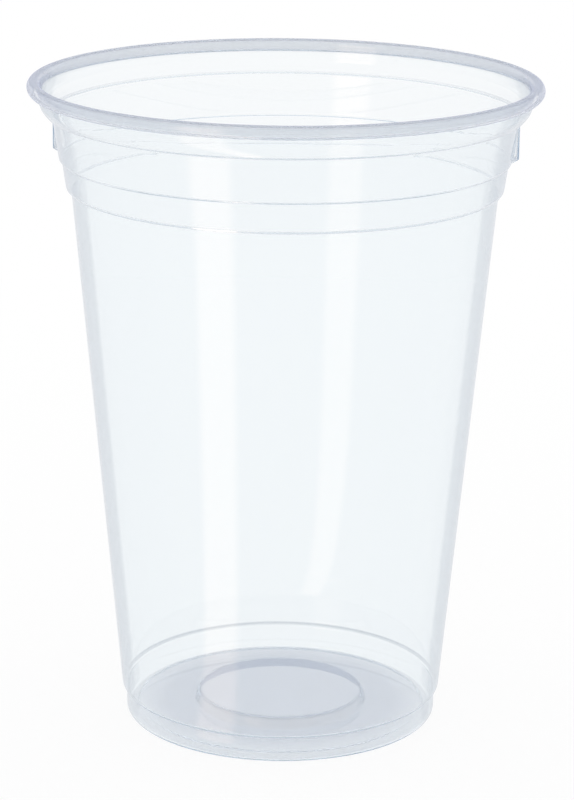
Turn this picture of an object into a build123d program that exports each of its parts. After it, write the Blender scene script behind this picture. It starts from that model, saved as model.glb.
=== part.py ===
from build123d import *
import math
import os

# A clear thermoformed drinking cup: one thin sheet drawn down from a rolled rim.
# Millimetres and degrees. The origin is at the centre of the foot, on the surface it
# stands on, and +Z goes up to the mouth. Radii and heights are those of the outside.

# The sheet. Edges that stand out from the cup are eased, and other bends are sharp.
sheet = 0.35
eased_edge = 0.4

# Rolled rim
rim_radius = 47.5
cup_height = 122.6
bead_radius = 1.25
curl_angle = 270
curl_steps = 7

# Plain wall, which leans out by the draft
draft = 5.25
wall_base_radius = 30.6
wall_top = 102.45

# Stacking bands above the wall, each standing out on a ledge and leaning out further
band_draft = 8
lower_ledge = 0.93
lower_band_height = 5.5
upper_ledge = 0.5
upper_band_height = 8.2

# Neck, which flares out above its ledge and then goes straight to the rim
neck_ledge = 1.0
flare_run = 1.4
flare_rise = 1.75

# Stacking lugs, pressed out of the upper band
lug_count = 2
lug_width = 5.0
lug_setback = 0.85
lug_foot_gap = 0.2
lug_foot_slope = 0.8
lug_bend = 0.5

# Foot band below the wall
foot_ledge = 0.8
foot_ledge_height = 0.5
foot_height = 4.7
foot_draft = 0.6

# Base, raised inside the ring it stands on
ring_width = 2.0
ring_wall_run = 0.5
floor_height = 0.8
panel_radius = 15.6
panel_run = 0.6
panel_height = 2.95


def leaning(radius, rise, angle):
    """The radius at the top of a wall that leans out by angle over rise."""
    return radius + rise * math.tan(math.radians(angle))


foot_top_radius = wall_base_radius - foot_ledge
foot_radius = leaning(foot_top_radius, -foot_height, foot_draft)
ring_radius = foot_radius - ring_width
upper_band_base = wall_top + lower_band_height
neck_base = upper_band_base + upper_band_height
bead_centre = Vector(rim_radius - bead_radius, cup_height - bead_radius)


def base_corners():
    """The base's underside and the foot band, from the axis out and up."""
    return [
        Vector(0, panel_height),
        Vector(panel_radius, panel_height),
        Vector(panel_radius + panel_run, floor_height),
        Vector(ring_radius - ring_wall_run, floor_height),
        Vector(ring_radius, 0),
        Vector(foot_radius, 0),
        Vector(foot_top_radius, foot_height),
    ]


def wall_corners():
    """The wall and its bands, from the wall's lower edge up to the neck's foot."""
    radius, height = wall_base_radius, foot_height + foot_ledge_height
    corners = [Vector(radius, height)]
    for top, lean, ledge in (
        (wall_top, draft, lower_ledge),
        (upper_band_base, band_draft, upper_ledge),
        (neck_base, band_draft, neck_ledge),
    ):
        radius = leaning(radius, top - height, lean)
        corners += [Vector(radius, top), Vector(radius + ledge, top)]
        radius, height = radius + ledge, top
    return corners


def neck_end(flare_top):
    """The neck's direction in degrees, and the point where it meets the bead's inside."""
    reach = bead_centre - flare_top
    roll = bead_radius - sheet
    lean = math.asin(roll / reach.length)
    direction = math.degrees(math.atan2(reach.Y, reach.X) + lean)
    run = math.sqrt(reach.length**2 - roll**2)
    return direction, flare_top + Vector(run, 0).rotate(Axis.Z, direction)


def ways(corners):
    """The unit direction of each straight between corners."""
    return [(after - before).normalized() for before, after in zip(corners, corners[1:])]


def beside(corners, gap):
    """The same broken line moved to its left by gap, with mitred corners."""
    sides = [Vector(-way.Y, way.X) for way in ways(corners)]
    moved = [corners[0] + sides[0] * gap]
    for corner, before, after in zip(corners[1:], sides, sides[1:]):
        moved.append(corner + (before + after) * (gap / (1 + before.dot(after))))
    return moved + [corners[-1] + sides[-1] * gap]


def eased(corners):
    """The outer surface's line, with a short flat at each edge that stands out sideways."""
    directions = ways(corners)
    points = [corners[0]]
    for corner, way, next_way in zip(corners[1:], directions, directions[1:]):
        turn = way.cross(next_way).Z
        cut = eased_edge * turn / (1 + way.dot(next_way))
        if turn > 0 and corner.X >= foot_radius:
            points += [corner - way * cut, corner + next_way * cut]
        else:
            points.append(corner)
    return points + [corners[-1]]


def rolled(radius, start):
    """The roll of the rim at one radius, from the angle where it leaves the neck."""
    turns = [start - curl_angle * step / curl_steps for step in range(curl_steps + 1)]
    return [bead_centre + Vector(radius, 0).rotate(Axis.Z, turn) for turn in turns]


def cup_section(corners, direction):
    """Half of the cup's section: the sheet from the axis to the rolled rim's lip."""
    start = direction + 90
    outer_side = eased(corners) + rolled(bead_radius - sheet, start)[1:]
    inner_side = beside(corners, sheet) + rolled(bead_radius, start)[1:]
    return make_face(Polyline(*outer_side, *reversed(inner_side), close=True))


def core_section(corners):
    """Half of the section of the space inside the middle of the sheet."""
    line = beside(corners, sheet / 2)
    return make_face(Polyline(*line, Vector(0, line[-1].Y), close=True))


def turned(section):
    """The half section, standing on the XZ plane, turned about the cup's axis."""
    return revolve(Plane.XZ * section, Axis.Z)


def lug_block(face_radius, inset, top):
    """A rounded upright block with a sloping foot, its face and foot set in by inset."""
    bottom = upper_band_base + lug_foot_gap
    plan = RectangleRounded(lug_width, lug_width - 2 * inset, lug_bend + sheet - inset)
    block = extrude(Pos(face_radius - inset - lug_width / 2, 0, bottom) * plan, top - bottom)
    underside = Plane((face_radius, 0, bottom))
    slope = Plane((face_radius, 0, bottom + lug_foot_slope), z_dir=(-1, 0, 1))
    for cut in (underside, slope):
        block = split(block, cut.offset(inset), keep=Keep.TOP)
    return block


def with_lugs(cup, corners, face_radius):
    """The cup with each lug added outside the wall and pressed out from inside."""
    core = turned(core_section(corners))
    boss = lug_block(face_radius, 0, neck_base + sheet / 2) - core
    pocket = lug_block(face_radius, sheet, neck_base + neck_ledge)
    for place in PolarLocations(0, lug_count):
        cup = cup + place * boss - place * pocket
    return cup


def make_cup():
    """The whole cup as one solid."""
    corners = base_corners() + wall_corners()
    neck_foot = corners[-1]
    flare_top = neck_foot + Vector(flare_run, flare_rise)
    direction, neck_top = neck_end(flare_top)
    corners += [flare_top, neck_top]
    cup = turned(cup_section(corners, direction))
    return with_lugs(cup, corners, neck_foot.X - lug_setback)


os.makedirs("parts", exist_ok=True)
export_step(make_cup(), "parts/cup.step")
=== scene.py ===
import math

import bpy
from mathutils import Matrix, Vector


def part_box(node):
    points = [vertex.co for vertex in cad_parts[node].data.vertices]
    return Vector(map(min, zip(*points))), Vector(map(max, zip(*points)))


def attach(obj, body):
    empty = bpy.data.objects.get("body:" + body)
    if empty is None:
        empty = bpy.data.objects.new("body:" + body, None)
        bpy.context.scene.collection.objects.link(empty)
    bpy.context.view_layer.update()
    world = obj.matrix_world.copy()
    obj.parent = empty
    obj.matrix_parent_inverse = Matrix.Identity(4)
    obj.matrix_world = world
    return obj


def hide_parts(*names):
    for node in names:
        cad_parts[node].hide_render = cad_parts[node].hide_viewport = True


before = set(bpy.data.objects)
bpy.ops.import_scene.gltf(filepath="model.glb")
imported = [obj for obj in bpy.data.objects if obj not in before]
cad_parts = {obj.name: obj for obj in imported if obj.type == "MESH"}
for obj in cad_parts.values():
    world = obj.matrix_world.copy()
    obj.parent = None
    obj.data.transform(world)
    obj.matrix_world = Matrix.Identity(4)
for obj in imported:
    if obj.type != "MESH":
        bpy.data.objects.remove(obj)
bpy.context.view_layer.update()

# A clear thermoformed drinking cup on a pale floor. Metres and degrees, +Z up, with the
# origin at the centre of the foot. The cup's outer size comes from the frame.
cup_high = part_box("cup")[1]
rim_radius = min(cup_high.x, cup_high.y)
cup_height = cup_high.z

# The sheet, the roll of the rim, and the turns of the points that round its lip
sheet = 0.00035
bead_radius = 0.00125
curl_angle = 270
lip_turns = (-45, 0, 45)

# Plain wall, which leans out by the draft
draft = 5.25
wall_base_radius = 0.0306
wall_top = 0.10245

# Stacking bands above the wall, each standing out on a ledge and leaning out further.
# The ledges are drawn rising outward by a share of their width.
band_draft = 8
ledge_slope_share = 0.25
lower_ledge = 0.00093
lower_band_height = 0.0055
upper_ledge = 0.0005
upper_band_height = 0.0082
upper_band_base = wall_top + lower_band_height
neck_base = upper_band_base + upper_band_height

# Neck, which flares out above its ledge and then goes straight to the rim
neck_ledge = 0.001
flare_run = 0.0014
flare_rise = 0.00175

# Stacking lugs, pressed out of the upper band at both ends of the X axis
lug_width = 0.005
lug_setback = 0.00085
lug_foot_gap = 0.0002
lug_foot_slope = 0.0008
lug_side_slope = 0.0005
lug_foot = upper_band_base + lug_foot_gap

# Foot band, and the base raised inside the ring that the cup stands on
foot_ledge = 0.0008
foot_ledge_height = 0.0005
foot_height = 0.0047
foot_draft = 0.6
ring_width = 0.002
ring_wall_run = 0.0005
floor_height = 0.0008
panel_radius = 0.0156
panel_run = 0.0006
panel_height = 0.00295

# Bends of the sheet's middle line, and how finely the mesh follows them and the roll
bend_radius = 0.0005
flare_bend_radius = 0.004
bend_step = 18
least_bend_steps = 3
curl_step = 10

# Straights that get a row of the mesh near each end, and how near
long_straight = 0.002
end_row = 0.0005

# Turns of the mesh about the axis, closer together across each lug's sides
full_turn = 360
turn_step = 1.0
lug_turn_step = 0.15
lug_turn_steps = 6
lug_side_share = 1.1
least_turn_gap = 0.225

# Camera, as it stood for the photograph, which is a frame of 800 pixels on its long side
focal_pixels = 2936.7
frame_pixels = 800
sensor_size = 36
camera_distance = 0.53346
camera_height = 0.2154
camera_orbit = 4.5
camera_pitch = 16.12
camera_yaw = 0.08
camera_roll = 0.57


def leaning(radius, rise, angle):
    """The radius at the top of a wall that leans out by angle over rise."""
    return radius + rise * math.tan(math.radians(angle))


def heading(angle):
    """The unit vector of a plane that points at an angle."""
    return Vector((math.cos(math.radians(angle)), math.sin(math.radians(angle))))


def outside_corners():
    """Corners (radius, height) of the sheet's outside, from the axis to the neck's flare."""
    foot_top = wall_base_radius - foot_ledge
    foot_radius = leaning(foot_top, -foot_height, foot_draft)
    ring_radius = foot_radius - ring_width
    corners = [
        (0, panel_height),
        (panel_radius, panel_height),
        (panel_radius + panel_run, floor_height),
        (ring_radius - ring_wall_run, floor_height),
        (ring_radius, 0),
        (foot_radius, 0),
        (foot_top, foot_height),
    ]
    radius, height = wall_base_radius, foot_height + foot_ledge_height
    corners.append((radius, height))
    for top, lean, ledge in (
        (wall_top, draft, lower_ledge),
        (upper_band_base, band_draft, upper_ledge),
        (neck_base, band_draft, neck_ledge),
    ):
        radius = leaning(radius, top - height, lean)
        rise = ledge * ledge_slope_share / 2
        corners += [(radius, top - rise), (radius + ledge, top + rise)]
        radius, height = radius + ledge, top
    corners.append((radius + flare_run, height + flare_rise))
    return [Vector(corner) for corner in corners]


def beside(corners, gap):
    """The same broken line moved to its left by gap, with mitred corners."""
    ways = [(after - before).normalized() for before, after in zip(corners, corners[1:])]
    sides = [Vector((-way.y, way.x)) for way in ways]
    moved = [corners[0] + sides[0] * gap]
    for corner, before, after in zip(corners[1:], sides, sides[1:]):
        moved.append(corner + (before + after) * (gap / (1 + before.dot(after))))
    return moved + [corners[-1] + sides[-1] * gap]


def bent(before, corner, after, radius):
    """Points of the curve that rounds a corner between the points before and after it."""
    way_in, way_out = corner - before, after - corner
    turn = abs(way_in.angle_signed(way_out))
    reach = min(way_in.length, way_out.length) / 2
    cut = min(radius * math.tan(turn / 2), reach)
    start = corner - way_in.normalized() * cut
    end = corner + way_out.normalized() * cut
    steps = max(least_bend_steps, round(math.degrees(turn) / bend_step))
    shares = [step / steps for step in range(steps + 1)]
    return [
        start * (1 - share) ** 2 + corner * 2 * share * (1 - share) + end * share**2
        for share in shares
    ]


def spaced(points):
    """The same line with a point near each end of a long straight."""
    line = [points[0]]
    for before, after in zip(points, points[1:]):
        length = (after - before).length
        if length > long_straight:
            share = end_row / length
            line += [before.lerp(after, share), before.lerp(after, 1 - share)]
        line.append(after)
    return line


def crossed(points, heights):
    """The same line with a point wherever it crosses one of the heights."""
    line = [points[0]]
    for before, after in zip(points, points[1:]):
        low, high = sorted((before.y, after.y))
        inner = [height for height in heights if low < height < high]
        for height in sorted(inner, reverse=before.y > after.y):
            line.append(before.lerp(after, (height - before.y) / (after.y - before.y)))
        line.append(after)
    return line


def middle_line():
    """The line in the middle of the sheet, from the axis to the lip of the rolled rim."""
    corners = beside(outside_corners(), sheet / 2)
    centre = Vector((rim_radius - bead_radius, cup_height - bead_radius))
    roll = bead_radius - sheet / 2
    reach = centre - corners[-1]
    lean = math.asin(roll / reach.length)
    direction = math.degrees(math.atan2(reach.y, reach.x) + lean)
    run = math.sqrt(reach.length**2 - roll**2)
    corners.append(corners[-1] + heading(direction) * run)
    radii = [bend_radius] * (len(corners) - 3) + [flare_bend_radius]
    line = [corners[0]]
    for before, corner, after, radius in zip(corners, corners[1:], corners[2:], radii):
        line += bent(before, corner, after, radius)
    line.append(corners[-1])
    line = spaced(crossed(line, (lug_foot, lug_foot + lug_foot_slope)))
    turns = range(curl_step, curl_angle + 1, curl_step)
    return line + [centre + heading(direction + 90 - turn) * roll for turn in turns]


def section_loop():
    """The sheet's section: the outside, the rounded lip, and the inside back to the axis.
    With it comes the number of points on the outside."""
    line = middle_line()
    ways = [line[1] - line[0]]
    ways += [after - before for before, after in zip(line, line[2:])]
    ways.append(line[-1] - line[-2])
    sides = [Vector((-way.y, way.x)).normalized() * sheet / 2 for way in ways]
    outside = [point - side for point, side in zip(line, sides)]
    inside = [point + side for point, side in zip(line, sides)]
    side, way = sides[-1], ways[-1].normalized() * sheet / 2
    lip = []
    for turn in lip_turns:
        angle = math.radians(turn)
        lip.append(line[-1] + way * math.cos(angle) + side * math.sin(angle))
    return outside + lip + inside[::-1], len(outside)


def turn_angles():
    """The angles about the axis, closer together across the sides of each lug."""
    half_turn = full_turn / 2
    side = lug_side_share * math.degrees(lug_width / 2 / rim_radius)
    fine = [
        (middle + step * lug_turn_step) % full_turn
        for middle in (-side, side, half_turn - side, half_turn + side)
        for step in range(-lug_turn_steps, lug_turn_steps + 1)
    ]
    kept = []
    for step in range(round(full_turn / turn_step)):
        angle = step * turn_step
        gaps = [abs((angle - other + half_turn) % full_turn - half_turn) for other in fine]
        if min(gaps) > least_turn_gap:
            kept.append(angle)
    return sorted(kept + fine)


def lug_share(angle, radius, height):
    """How far the sheet is pressed out into a lug, from 0 to 1, at a place on the cup."""
    aside = abs(radius * math.sin(math.radians(angle)))
    across = (lug_width / 2 - aside) / lug_side_slope
    up = (height - lug_foot) / lug_foot_slope
    return min(max(across, 0), 1) * min(max(up, 0), 1)


def cup_mesh():
    """The whole cup as one closed mesh."""
    loop, outside_count = section_loop()
    lug_face = outside_corners()[-2].x - lug_setback
    angles = turn_angles()
    count = len(angles)
    points = [Vector((0, 0, loop[0].y))]
    for row, place in enumerate(loop[1:-1], 1):
        face = lug_face if row < outside_count else lug_face - sheet
        for angle in angles:
            press = max(face - place.x, 0) * lug_share(angle, place.x, place.y)
            spread = heading(angle) * (place.x + press)
            points.append(Vector((spread.x, spread.y, place.y)))
    points.append(Vector((0, 0, loop[-1].y)))
    last = len(points) - 1
    rings = [range(first, first + count) for first in range(1, last, count)]
    pairs = [(turn, (turn + 1) % count) for turn in range(count)]
    faces = [(0, rings[0][far], rings[0][near]) for near, far in pairs]
    for ring, after in zip(rings, rings[1:]):
        faces += [(ring[near], ring[far], after[far], after[near]) for near, far in pairs]
    faces += [(rings[-1][near], rings[-1][far], last) for near, far in pairs]
    mesh = bpy.data.meshes.new("clear_cup")
    mesh.from_pydata(points, [], faces)
    mesh.shade_smooth()
    return mesh


class Board:
    """A node tree, with a short call that adds a node and joins it to others."""

    def __init__(self, owner):
        owner.use_nodes = True
        self.tree = owner.node_tree
        self.tree.nodes.clear()

    def add(self, kind, inputs=None, **settings):
        """A new node. Each input is given by its name or number, as a value or a socket."""
        made = self.tree.nodes.new("ShaderNode" + kind)
        for name, value in settings.items():
            setattr(made, name, value)
        for name, value in (inputs or {}).items():
            if isinstance(value, bpy.types.NodeSocket):
                self.tree.links.new(value, made.inputs[name])
            else:
                made.inputs[name].default_value = value
        return made


# Clear plastic, and the darker tint that it takes on where it is seen edge on
clear_tint = (0.975, 0.99, 0.995, 1)
edge_tint = (0.08, 0.14, 0.24, 1)
edge_power = 9.0
edge_start = 0.63
edge_end = 0.69
edge_share = 0.18
plastic_ior = 1.49
least_roughness = 0.01
most_roughness = 0.05
absorb_colour = (0.45, 0.65, 0.8, 1)
absorb_density = 110

# Faint upright draw marks, and the blotches in which the gloss varies
mark_scale = (90, 90, 6)
mark_detail = 2
mark_strength = 0.05
mark_depth = 0.0004
blotch_scale = 60
blotch_detail = 3

# Slopes that count as steep and as level, from 0 for an upright surface to 1 for a level
# one, and the share of the darker tint that a level one keeps
steep = 0.3
level = 0.8
level_share = 0.3

# Painted shade along the rim's upper edge, and in the ledges where they are seen edge on: a
# dark matte layer mixed into the plastic
painted_shade_colour = (0.2, 0.25, 0.36, 1)
rim_line_depth = 0.00015
rim_line_fade = 0.00025
rim_line_share = 0.22
ledge_power = 4.0
ledge_shade_share = 0.25

# Painted shade lines at the foot's step and round the panel's edge
foot_line_width = 0.00012
foot_line_fade = 0.0001
foot_line_share = 0.42
panel_line_depth = 0.0003
panel_line_share = 0.22

# Milky plastic: its share in each part of the cup, where the base's share starts to fall
# and ends, and the width over which one share gives way to another
milk_and_shade_colour = (0.56, 0.585, 0.715, 1)
wall_milk_share = 0.006
band_milk_share = 0.014
# The base's and the ring's shares are partly milky haze and partly painted shade, for the
# shade under the cup
base_milk_and_shade_share = 0.278
ring_milk_and_shade_share = 0.14
lug_milk_share = 0.06
rim_milk_share = 0.105
floor_edge = 0.022
ring_edge = 0.0288
milk_blend = 0.0005
least_facing = 0.08

# The cup's shadow, and how often a ray may be mirrored, or meet plastic in all, before it
# passes straight on. Each limit lies between two whole numbers.
shadow_tint = (0.9, 0.92, 0.94, 1)
least_mirrored = 0.5
most_mirrored = 1.5
deepest = 7.5


def worked_out(add, kind, *values, clamp=False):
    """A socket with the result of one kind of sum."""
    made = add("Math", dict(enumerate(values)), operation=kind, use_clamp=clamp)
    return made.outputs[0]


def above(add, value, limit):
    """A socket that is 1 where a value lies above a limit."""
    return worked_out(add, "GREATER_THAN", value, limit)


def larger(add, one, other):
    """A socket with the larger of two values."""
    return worked_out(add, "MAXIMUM", one, other)


def product(add, one, other):
    """A socket with two values multiplied."""
    return worked_out(add, "MULTIPLY", one, other)


def rest_of(add, share):
    """A socket with what a share leaves of the whole."""
    return worked_out(add, "SUBTRACT", 1.0, share)


def ramp(add, value, start, end, low, high, kind="LINEAR"):
    """A socket that goes from low to high while a value goes from start to end."""
    inputs = {
        "Value": value,
        "From Min": start,
        "From Max": end,
        "To Min": low,
        "To Max": high,
    }
    return add("MapRange", inputs, interpolation_type=kind).outputs[0]


def height_of(add, place):
    """A socket with the height above the floor."""
    return add("SeparateXYZ", {0: place}).outputs["Z"]


def axis_distance(add, place):
    """A socket with the distance from the cup's axis."""
    parts = add("SeparateXYZ", {0: place}).outputs
    flat = add("CombineXYZ", {"X": parts["X"], "Y": parts["Y"]})
    return add("VectorMath", {0: flat.outputs[0]}, operation="LENGTH").outputs["Value"]


def edge_on(add):
    """A socket that is 0 where the surface is seen squarely and 1 where it is seen edge on."""
    return add("LayerWeight", {"Blend": 0.5}).outputs["Facing"]


def slope_of(add):
    """A socket that is 1 where the surface is level and 0 where it is upright."""
    normal = add("SeparateXYZ", {0: add("NewGeometry").outputs["Normal"]}).outputs["Z"]
    return worked_out(add, "ABSOLUTE", normal)


def unmirrored(add):
    """A socket that is 0 for rays that a surface has mirrored, and 1 for the others."""
    return rest_of(add, above(add, add("LightPath").outputs["Glossy Depth"], least_mirrored))


def bead_share(add, place):
    """A socket that is 1 in the rolled rim and 0 away from it."""
    section = add("CombineXYZ", {"X": axis_distance(add, place), "Z": height_of(add, place)})
    centre = (rim_radius - bead_radius, 0, cup_height - bead_radius)
    away = add("VectorMath", {0: section.outputs[0], 1: centre}, operation="DISTANCE")
    return ramp(add, away.outputs["Value"], bead_radius, bead_radius + milk_blend, 1, 0)


def lug_place(add, place):
    """A socket that is 1 in the lugs and 0 elsewhere."""
    parts = add("SeparateXYZ", {0: place}).outputs
    aside = worked_out(add, "ABSOLUTE", parts["Y"])
    across = ramp(add, aside, lug_width / 2, lug_width / 2 + milk_blend, 1, 0)
    raised = ramp(add, parts["Z"], lug_foot, lug_foot + milk_blend, 0, 1)
    below = ramp(add, parts["Z"], neck_base, neck_base + milk_blend, 1, 0)
    return product(add, across, product(add, raised, below))


def milk_and_shade_share(add, place):
    """A socket with the share of milky plastic that is seen. It is largest in the base, where
    with the ring it is partly haze and partly painted shade from the shade under the cup, and
    elsewhere it grows where the sheet is seen edge on. Mirrored rays see none."""
    radius = axis_distance(add, place)
    floor = ramp(add, radius, floor_edge, ring_edge, base_milk_and_shade_share, ring_milk_and_shade_share)
    base = product(add, floor, ramp(add, radius, ring_edge, ring_edge + milk_blend, 1, 0))
    low, high = wall_top - milk_blend, wall_top + milk_blend
    wall = ramp(add, height_of(add, place), low, high, wall_milk_share, band_milk_share)
    sheet_milk = ramp(add, bead_share(add, place), 0, 1, wall, rim_milk_share)
    milk = larger(add, product(add, lug_place(add, place), lug_milk_share), sheet_milk)
    squarely = larger(add, rest_of(add, edge_on(add)), least_facing)
    depth = worked_out(add, "DIVIDE", 1.0, squarely)
    hazy = rest_of(add, worked_out(add, "POWER", rest_of(add, milk), depth))
    return product(add, larger(add, base, hazy), unmirrored(add))


def edge_darkness(add):
    """A socket with the share of the darker tint where the plastic is seen edge on."""
    facing = edge_on(add)
    rise = worked_out(add, "POWER", facing, edge_power)
    shelf = ramp(add, facing, edge_start, edge_end, 0, edge_share, "SMOOTHSTEP")
    upright = worked_out(add, "ADD", rise, shelf, clamp=True)
    return product(add, upright, ramp(add, slope_of(add), steep, level, 1, level_share))


def painted_line_shade(add, place):
    """A socket with the share of the darker tint that paints shade lines at the foot's step
    and the panel's edge.
    """
    height = height_of(add, place)
    away = worked_out(add, "SUBTRACT", height, foot_height + foot_ledge_height)
    away = worked_out(add, "ABSOLUTE", away)
    line_end = foot_line_width + foot_line_fade
    foot_line = ramp(add, away, foot_line_width, line_end, foot_line_share, 0, "SMOOTHSTEP")
    line_low = panel_height - panel_line_depth
    raised = ramp(add, height, line_low, panel_height, 0, panel_line_share)
    radius = axis_distance(add, place)
    outside = ramp(add, radius, panel_radius - milk_blend, panel_radius, 0, 1)
    panel_foot = panel_radius + panel_run
    inside = ramp(add, radius, panel_foot, panel_foot + panel_run, 1, 0)
    panel_line = product(add, raised, product(add, outside, inside))
    return product(add, larger(add, foot_line, panel_line), unmirrored(add))


def clear_shader(add, place):
    """Glass-like plastic with faint upright draw marks, darker edge on, and with painted shade
    lines.
    """
    streaks = add("Mapping", {"Vector": place, "Scale": mark_scale}).outputs[0]
    marks = add("TexNoise", {"Vector": streaks, "Scale": 1, "Detail": mark_detail}).outputs[0]
    relief = {"Height": marks, "Strength": mark_strength, "Distance": mark_depth}
    blotched = {"Vector": place, "Scale": blotch_scale, "Detail": blotch_detail}
    blotches = add("TexNoise", blotched).outputs[0]
    # Darker where seen edge on, and painted shade lines at the foot's step and the panel's
    # edge
    dark = larger(add, edge_darkness(add), painted_line_shade(add, place))
    tint = add("Mix", {"Factor": dark, "A": clear_tint, "B": edge_tint}, data_type="RGBA")
    inputs = {
        "Base Color": tint.outputs["Result"],
        "Roughness": ramp(add, blotches, 0, 1, least_roughness, most_roughness),
        "IOR": plastic_ior,
        "Transmission Weight": 1.0,
        "Normal": add("Bump", relief).outputs[0],
    }
    return add("BsdfPrincipled", inputs).outputs[0]


def painted_shade_share(add, place):
    """A socket with the share of painted shade, a dark matte layer, that is seen. It lies
    along the rim's upper edge and in the ledges where they are seen edge on."""
    height = height_of(add, place)
    line_high = cup_height - rim_line_depth
    line_low = line_high - rim_line_fade
    top_line = ramp(add, height, line_low, line_high, 0, rim_line_share, "SMOOTHSTEP")
    rise = worked_out(add, "POWER", edge_on(add), ledge_power)
    flat = ramp(add, slope_of(add), steep, level, 0, ledge_shade_share)
    banded = ramp(add, height, foot_height - 2 * bend_radius, foot_height - bend_radius, 0, 1)
    below_bead = ramp(add, bead_share(add, place), 0, 1, 1, 0)
    ledges = product(add, product(add, rise, flat), product(add, banded, below_bead))
    return larger(add, top_line, product(add, ledges, unmirrored(add)))


def plastic_material():
    """Clear glossy plastic. Rays from lamps, and rays trapped inside it, pass straight on."""
    material = bpy.data.materials.new("clear_plastic")
    add = Board(material).add
    place = add("TexCoord").outputs["Object"]
    # Milky haze, which in the base and the ring is partly painted shade
    milk = add("BsdfDiffuse", {"Color": milk_and_shade_colour}).outputs[0]
    hazy = add("MixShader", {0: milk_and_shade_share(add, place), 1: clear_shader(add, place), 2: milk})
    # Painted shade: a dark matte layer along the rim's top and in the ledges seen edge on
    shade = add("BsdfDiffuse", {"Color": painted_shade_colour}).outputs[0]
    lined = add("MixShader", {0: painted_shade_share(add, place), 1: hazy.outputs[0], 2: shade})
    path = add("LightPath").outputs
    trapped = above(add, path["Glossy Depth"], most_mirrored)
    deep = above(add, path["Ray Depth"], deepest)
    passed = larger(add, larger(add, trapped, deep), path["Is Shadow Ray"])
    through = add("BsdfTransparent", {"Color": shadow_tint}).outputs[0]
    surface = add("MixShader", {0: passed, 1: lined.outputs[0], 2: through})
    absorb = add("VolumeAbsorption", {"Color": absorb_colour, "Density": absorb_density})
    add("OutputMaterial", {"Surface": surface.outputs[0], "Volume": absorb.outputs[0]})
    return material


def make_cup():
    """The cup's visible piece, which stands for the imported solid."""
    cup = bpy.data.objects.new("clear_cup", cup_mesh())
    bpy.context.scene.collection.objects.link(cup)
    cup.data.materials.append(plastic_material())
    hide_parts("cup")
    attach(cup, "root")


# Floor and world. The floor shows as plain white beyond the reach of its glow, and nearer
# the cup it keeps a part of its own shading, with the shadow.
white = (1, 1, 1, 1)
floor_size = 8.0
floor_colour = (0.92, 0.92, 0.92, 1)
near_glow_share = 0.9
shadow_reach = 0.1
glow_reach = 0.35
world_level = 0.8


def seen_ray(add):
    """A socket that is 1 for rays that show a surface: straight, mirrored or through glass."""
    path = add("LightPath").outputs
    mirrored = larger(add, path["Is Camera Ray"], path["Is Glossy Ray"])
    return larger(add, mirrored, path["Is Transmission Ray"])


def floor_material():
    """A pale matte floor that is seen as plain white away from the cup."""
    material = bpy.data.materials.new("pale_floor")
    add = Board(material).add
    matte = add("BsdfDiffuse", {"Color": floor_colour}).outputs[0]
    glow = add("Emission", {"Color": white, "Strength": 1.0}).outputs[0]
    place = add("TexCoord").outputs["Object"]
    distance = add("VectorMath", {0: place}, operation="LENGTH").outputs["Value"]
    spread = ramp(add, distance, shadow_reach, glow_reach, near_glow_share, 1, "SMOOTHSTEP")
    both = add("MixShader", {0: product(add, seen_ray(add), spread), 1: matte, 2: glow})
    add("OutputMaterial", {"Surface": both.outputs[0]})
    return material


def make_floor():
    """A wide floor under the cup."""
    half = floor_size / 2
    corners = [(-half, -half, 0), (half, -half, 0), (half, half, 0), (-half, half, 0)]
    mesh = bpy.data.meshes.new("floor")
    mesh.from_pydata(corners, [], [(0, 1, 2, 3)])
    mesh.materials.append(floor_material())
    floor = bpy.data.objects.new("floor", mesh)
    bpy.context.scene.collection.objects.link(floor)


def make_world():
    """A white room: full white where it is seen, and a plain level of light."""
    world = bpy.data.worlds.new("white_room")
    bpy.context.scene.world = world
    add = Board(world).add
    strength = ramp(add, seen_ray(add), 0, 1, world_level, 1)
    sky = add("Background", {"Color": white, "Strength": strength})
    add("OutputWorld", {"Surface": sky.outputs[0]})


# A light card that lies on the floor in front and stands up at its far end. It shows only
# as soft streaks in the plastic. Its sides are angles from the camera's direction, to its
# left below zero.
card_colour = (1.93, 1.66, 1.48, 1)
card_steps = 16
card_fade_share = 0.22
card_lift = 0.0002
card_near = 0.036
card_near_sides = (-40, -18)
card_far = 0.36
card_far_sides = (-49, -23.5)
card_top = 0.3


def faded(share):
    """1 in the middle of a card, going smoothly to 0 at its sides, for a share of the way
    across."""
    inward = min(share, 1 - share, card_fade_share) / card_fade_share
    return inward * inward * (3 - 2 * inward)


def card_material():
    """Light that is white at the card's sides and brighter in its middle."""
    material = bpy.data.materials.new("card_light")
    add = Board(material).add
    fade = add("Attribute", attribute_name="fade").outputs["Fac"]
    colour = add("Mix", {"Factor": fade, "A": white, "B": card_colour}, data_type="RGBA")
    light = add("Emission", {"Color": colour.outputs["Result"], "Strength": 1.0})
    add("OutputMaterial", {"Surface": light.outputs[0]})
    return material


def make_card(name, near_edge, far_edge, material):
    """A flat card between two edges, each given by its two ends."""
    row = card_steps + 1
    shares = [step / card_steps for step in range(row)]
    points = []
    for along in shares:
        left, right = (near.lerp(far, along) for near, far in zip(near_edge, far_edge))
        points += [left.lerp(right, across) for across in shares]
    faces = [
        (first, first + 1, first + row + 1, first + row)
        for along in range(card_steps)
        for first in range(along * row, along * row + card_steps)
    ]
    mesh = bpy.data.meshes.new(name)
    mesh.from_pydata(points, [], faces)
    fade = mesh.attributes.new("fade", "FLOAT", "POINT")
    for place, value in enumerate(fade.data):
        value.value = faded(shares[place % row])
    mesh.materials.append(material)
    card = bpy.data.objects.new(name, mesh)
    bpy.context.scene.collection.objects.link(card)
    card.visible_camera = card.visible_diffuse = card.visible_shadow = False


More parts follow.
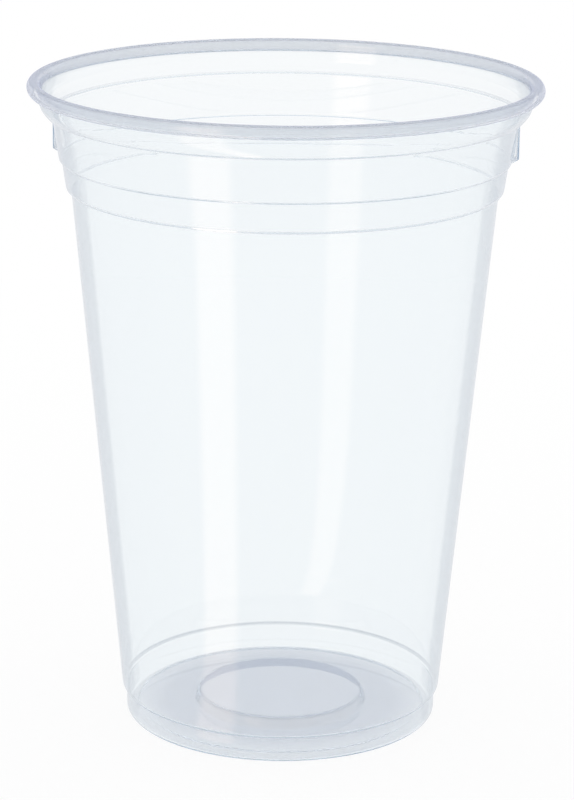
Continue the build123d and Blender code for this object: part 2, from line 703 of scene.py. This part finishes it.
def card_edge(sides, distance, height):
    """The two ends of a card's level edge."""
    ways = [heading(camera_orbit - 90 + side) * distance for side in sides]
    return [Vector((way.x, way.y, height)) for way in ways]


def make_cards():
    """The card that gives the photograph's two upright streaks, in its two leaves."""
    material = card_material()
    near = card_edge(card_near_sides, card_near, card_lift)
    far = card_edge(card_far_sides, card_far, card_lift)
    top = card_edge(card_far_sides, card_far, card_top)
    make_card("lying_card", near, far, material)
    make_card("standing_card", far, top, material)


# Soft lamps that face one target: each one's place, width, height and radiance
lamp_target = (0, 0, 0.06)
lamps = {
    "left_lamp": ((-1.3, 0.3, 0.5), 0.5, 1.0, 1.6),
    "right_lamp": ((1.3, 0.5, 0.5), 0.5, 1.0, 1.6),
    "top_lamp": ((0.1, 0.1, 1.2), 0.8, 0.8, 1.2),
}


def make_lamp(name, place, width, height, radiance):
    """A soft rectangular lamp whose surface has an even brightness."""
    lamp = bpy.data.lights.new(name, "AREA")
    lamp.shape = "RECTANGLE"
    lamp.size, lamp.size_y = width, height
    lamp.energy = radiance * math.pi * width * height
    thing = bpy.data.objects.new(name, lamp)
    bpy.context.scene.collection.objects.link(thing)
    thing.visible_glossy = thing.visible_transmission = False
    way = Vector(lamp_target) - Vector(place)
    turned = way.to_track_quat("-Z", "Y").to_matrix().to_4x4()
    thing.matrix_world = Matrix.Translation(place) @ turned


def make_camera():
    """The photograph's camera."""
    camera = bpy.data.cameras.new("camera")
    camera.sensor_width = sensor_size
    camera.lens = focal_pixels * sensor_size / frame_pixels
    thing = bpy.data.objects.new("camera", camera)
    bpy.context.scene.collection.objects.link(thing)
    place = heading(camera_orbit - 90) * camera_distance
    thing.matrix_world = (
        Matrix.Translation((place.x, place.y, camera_height))
        @ Matrix.Rotation(math.radians(camera_orbit - camera_yaw), 4, "Z")
        @ Matrix.Rotation(math.radians(90 - camera_pitch), 4, "X")
        @ Matrix.Rotation(math.radians(camera_roll), 4, "Z")
    )
    bpy.context.scene.camera = thing


make_cup()
make_floor()
make_world()
make_camera()
make_cards()
for name, settings in lamps.items():
    make_lamp(name, *settings)

bpy.context.scene.view_settings.view_transform = "Standard"
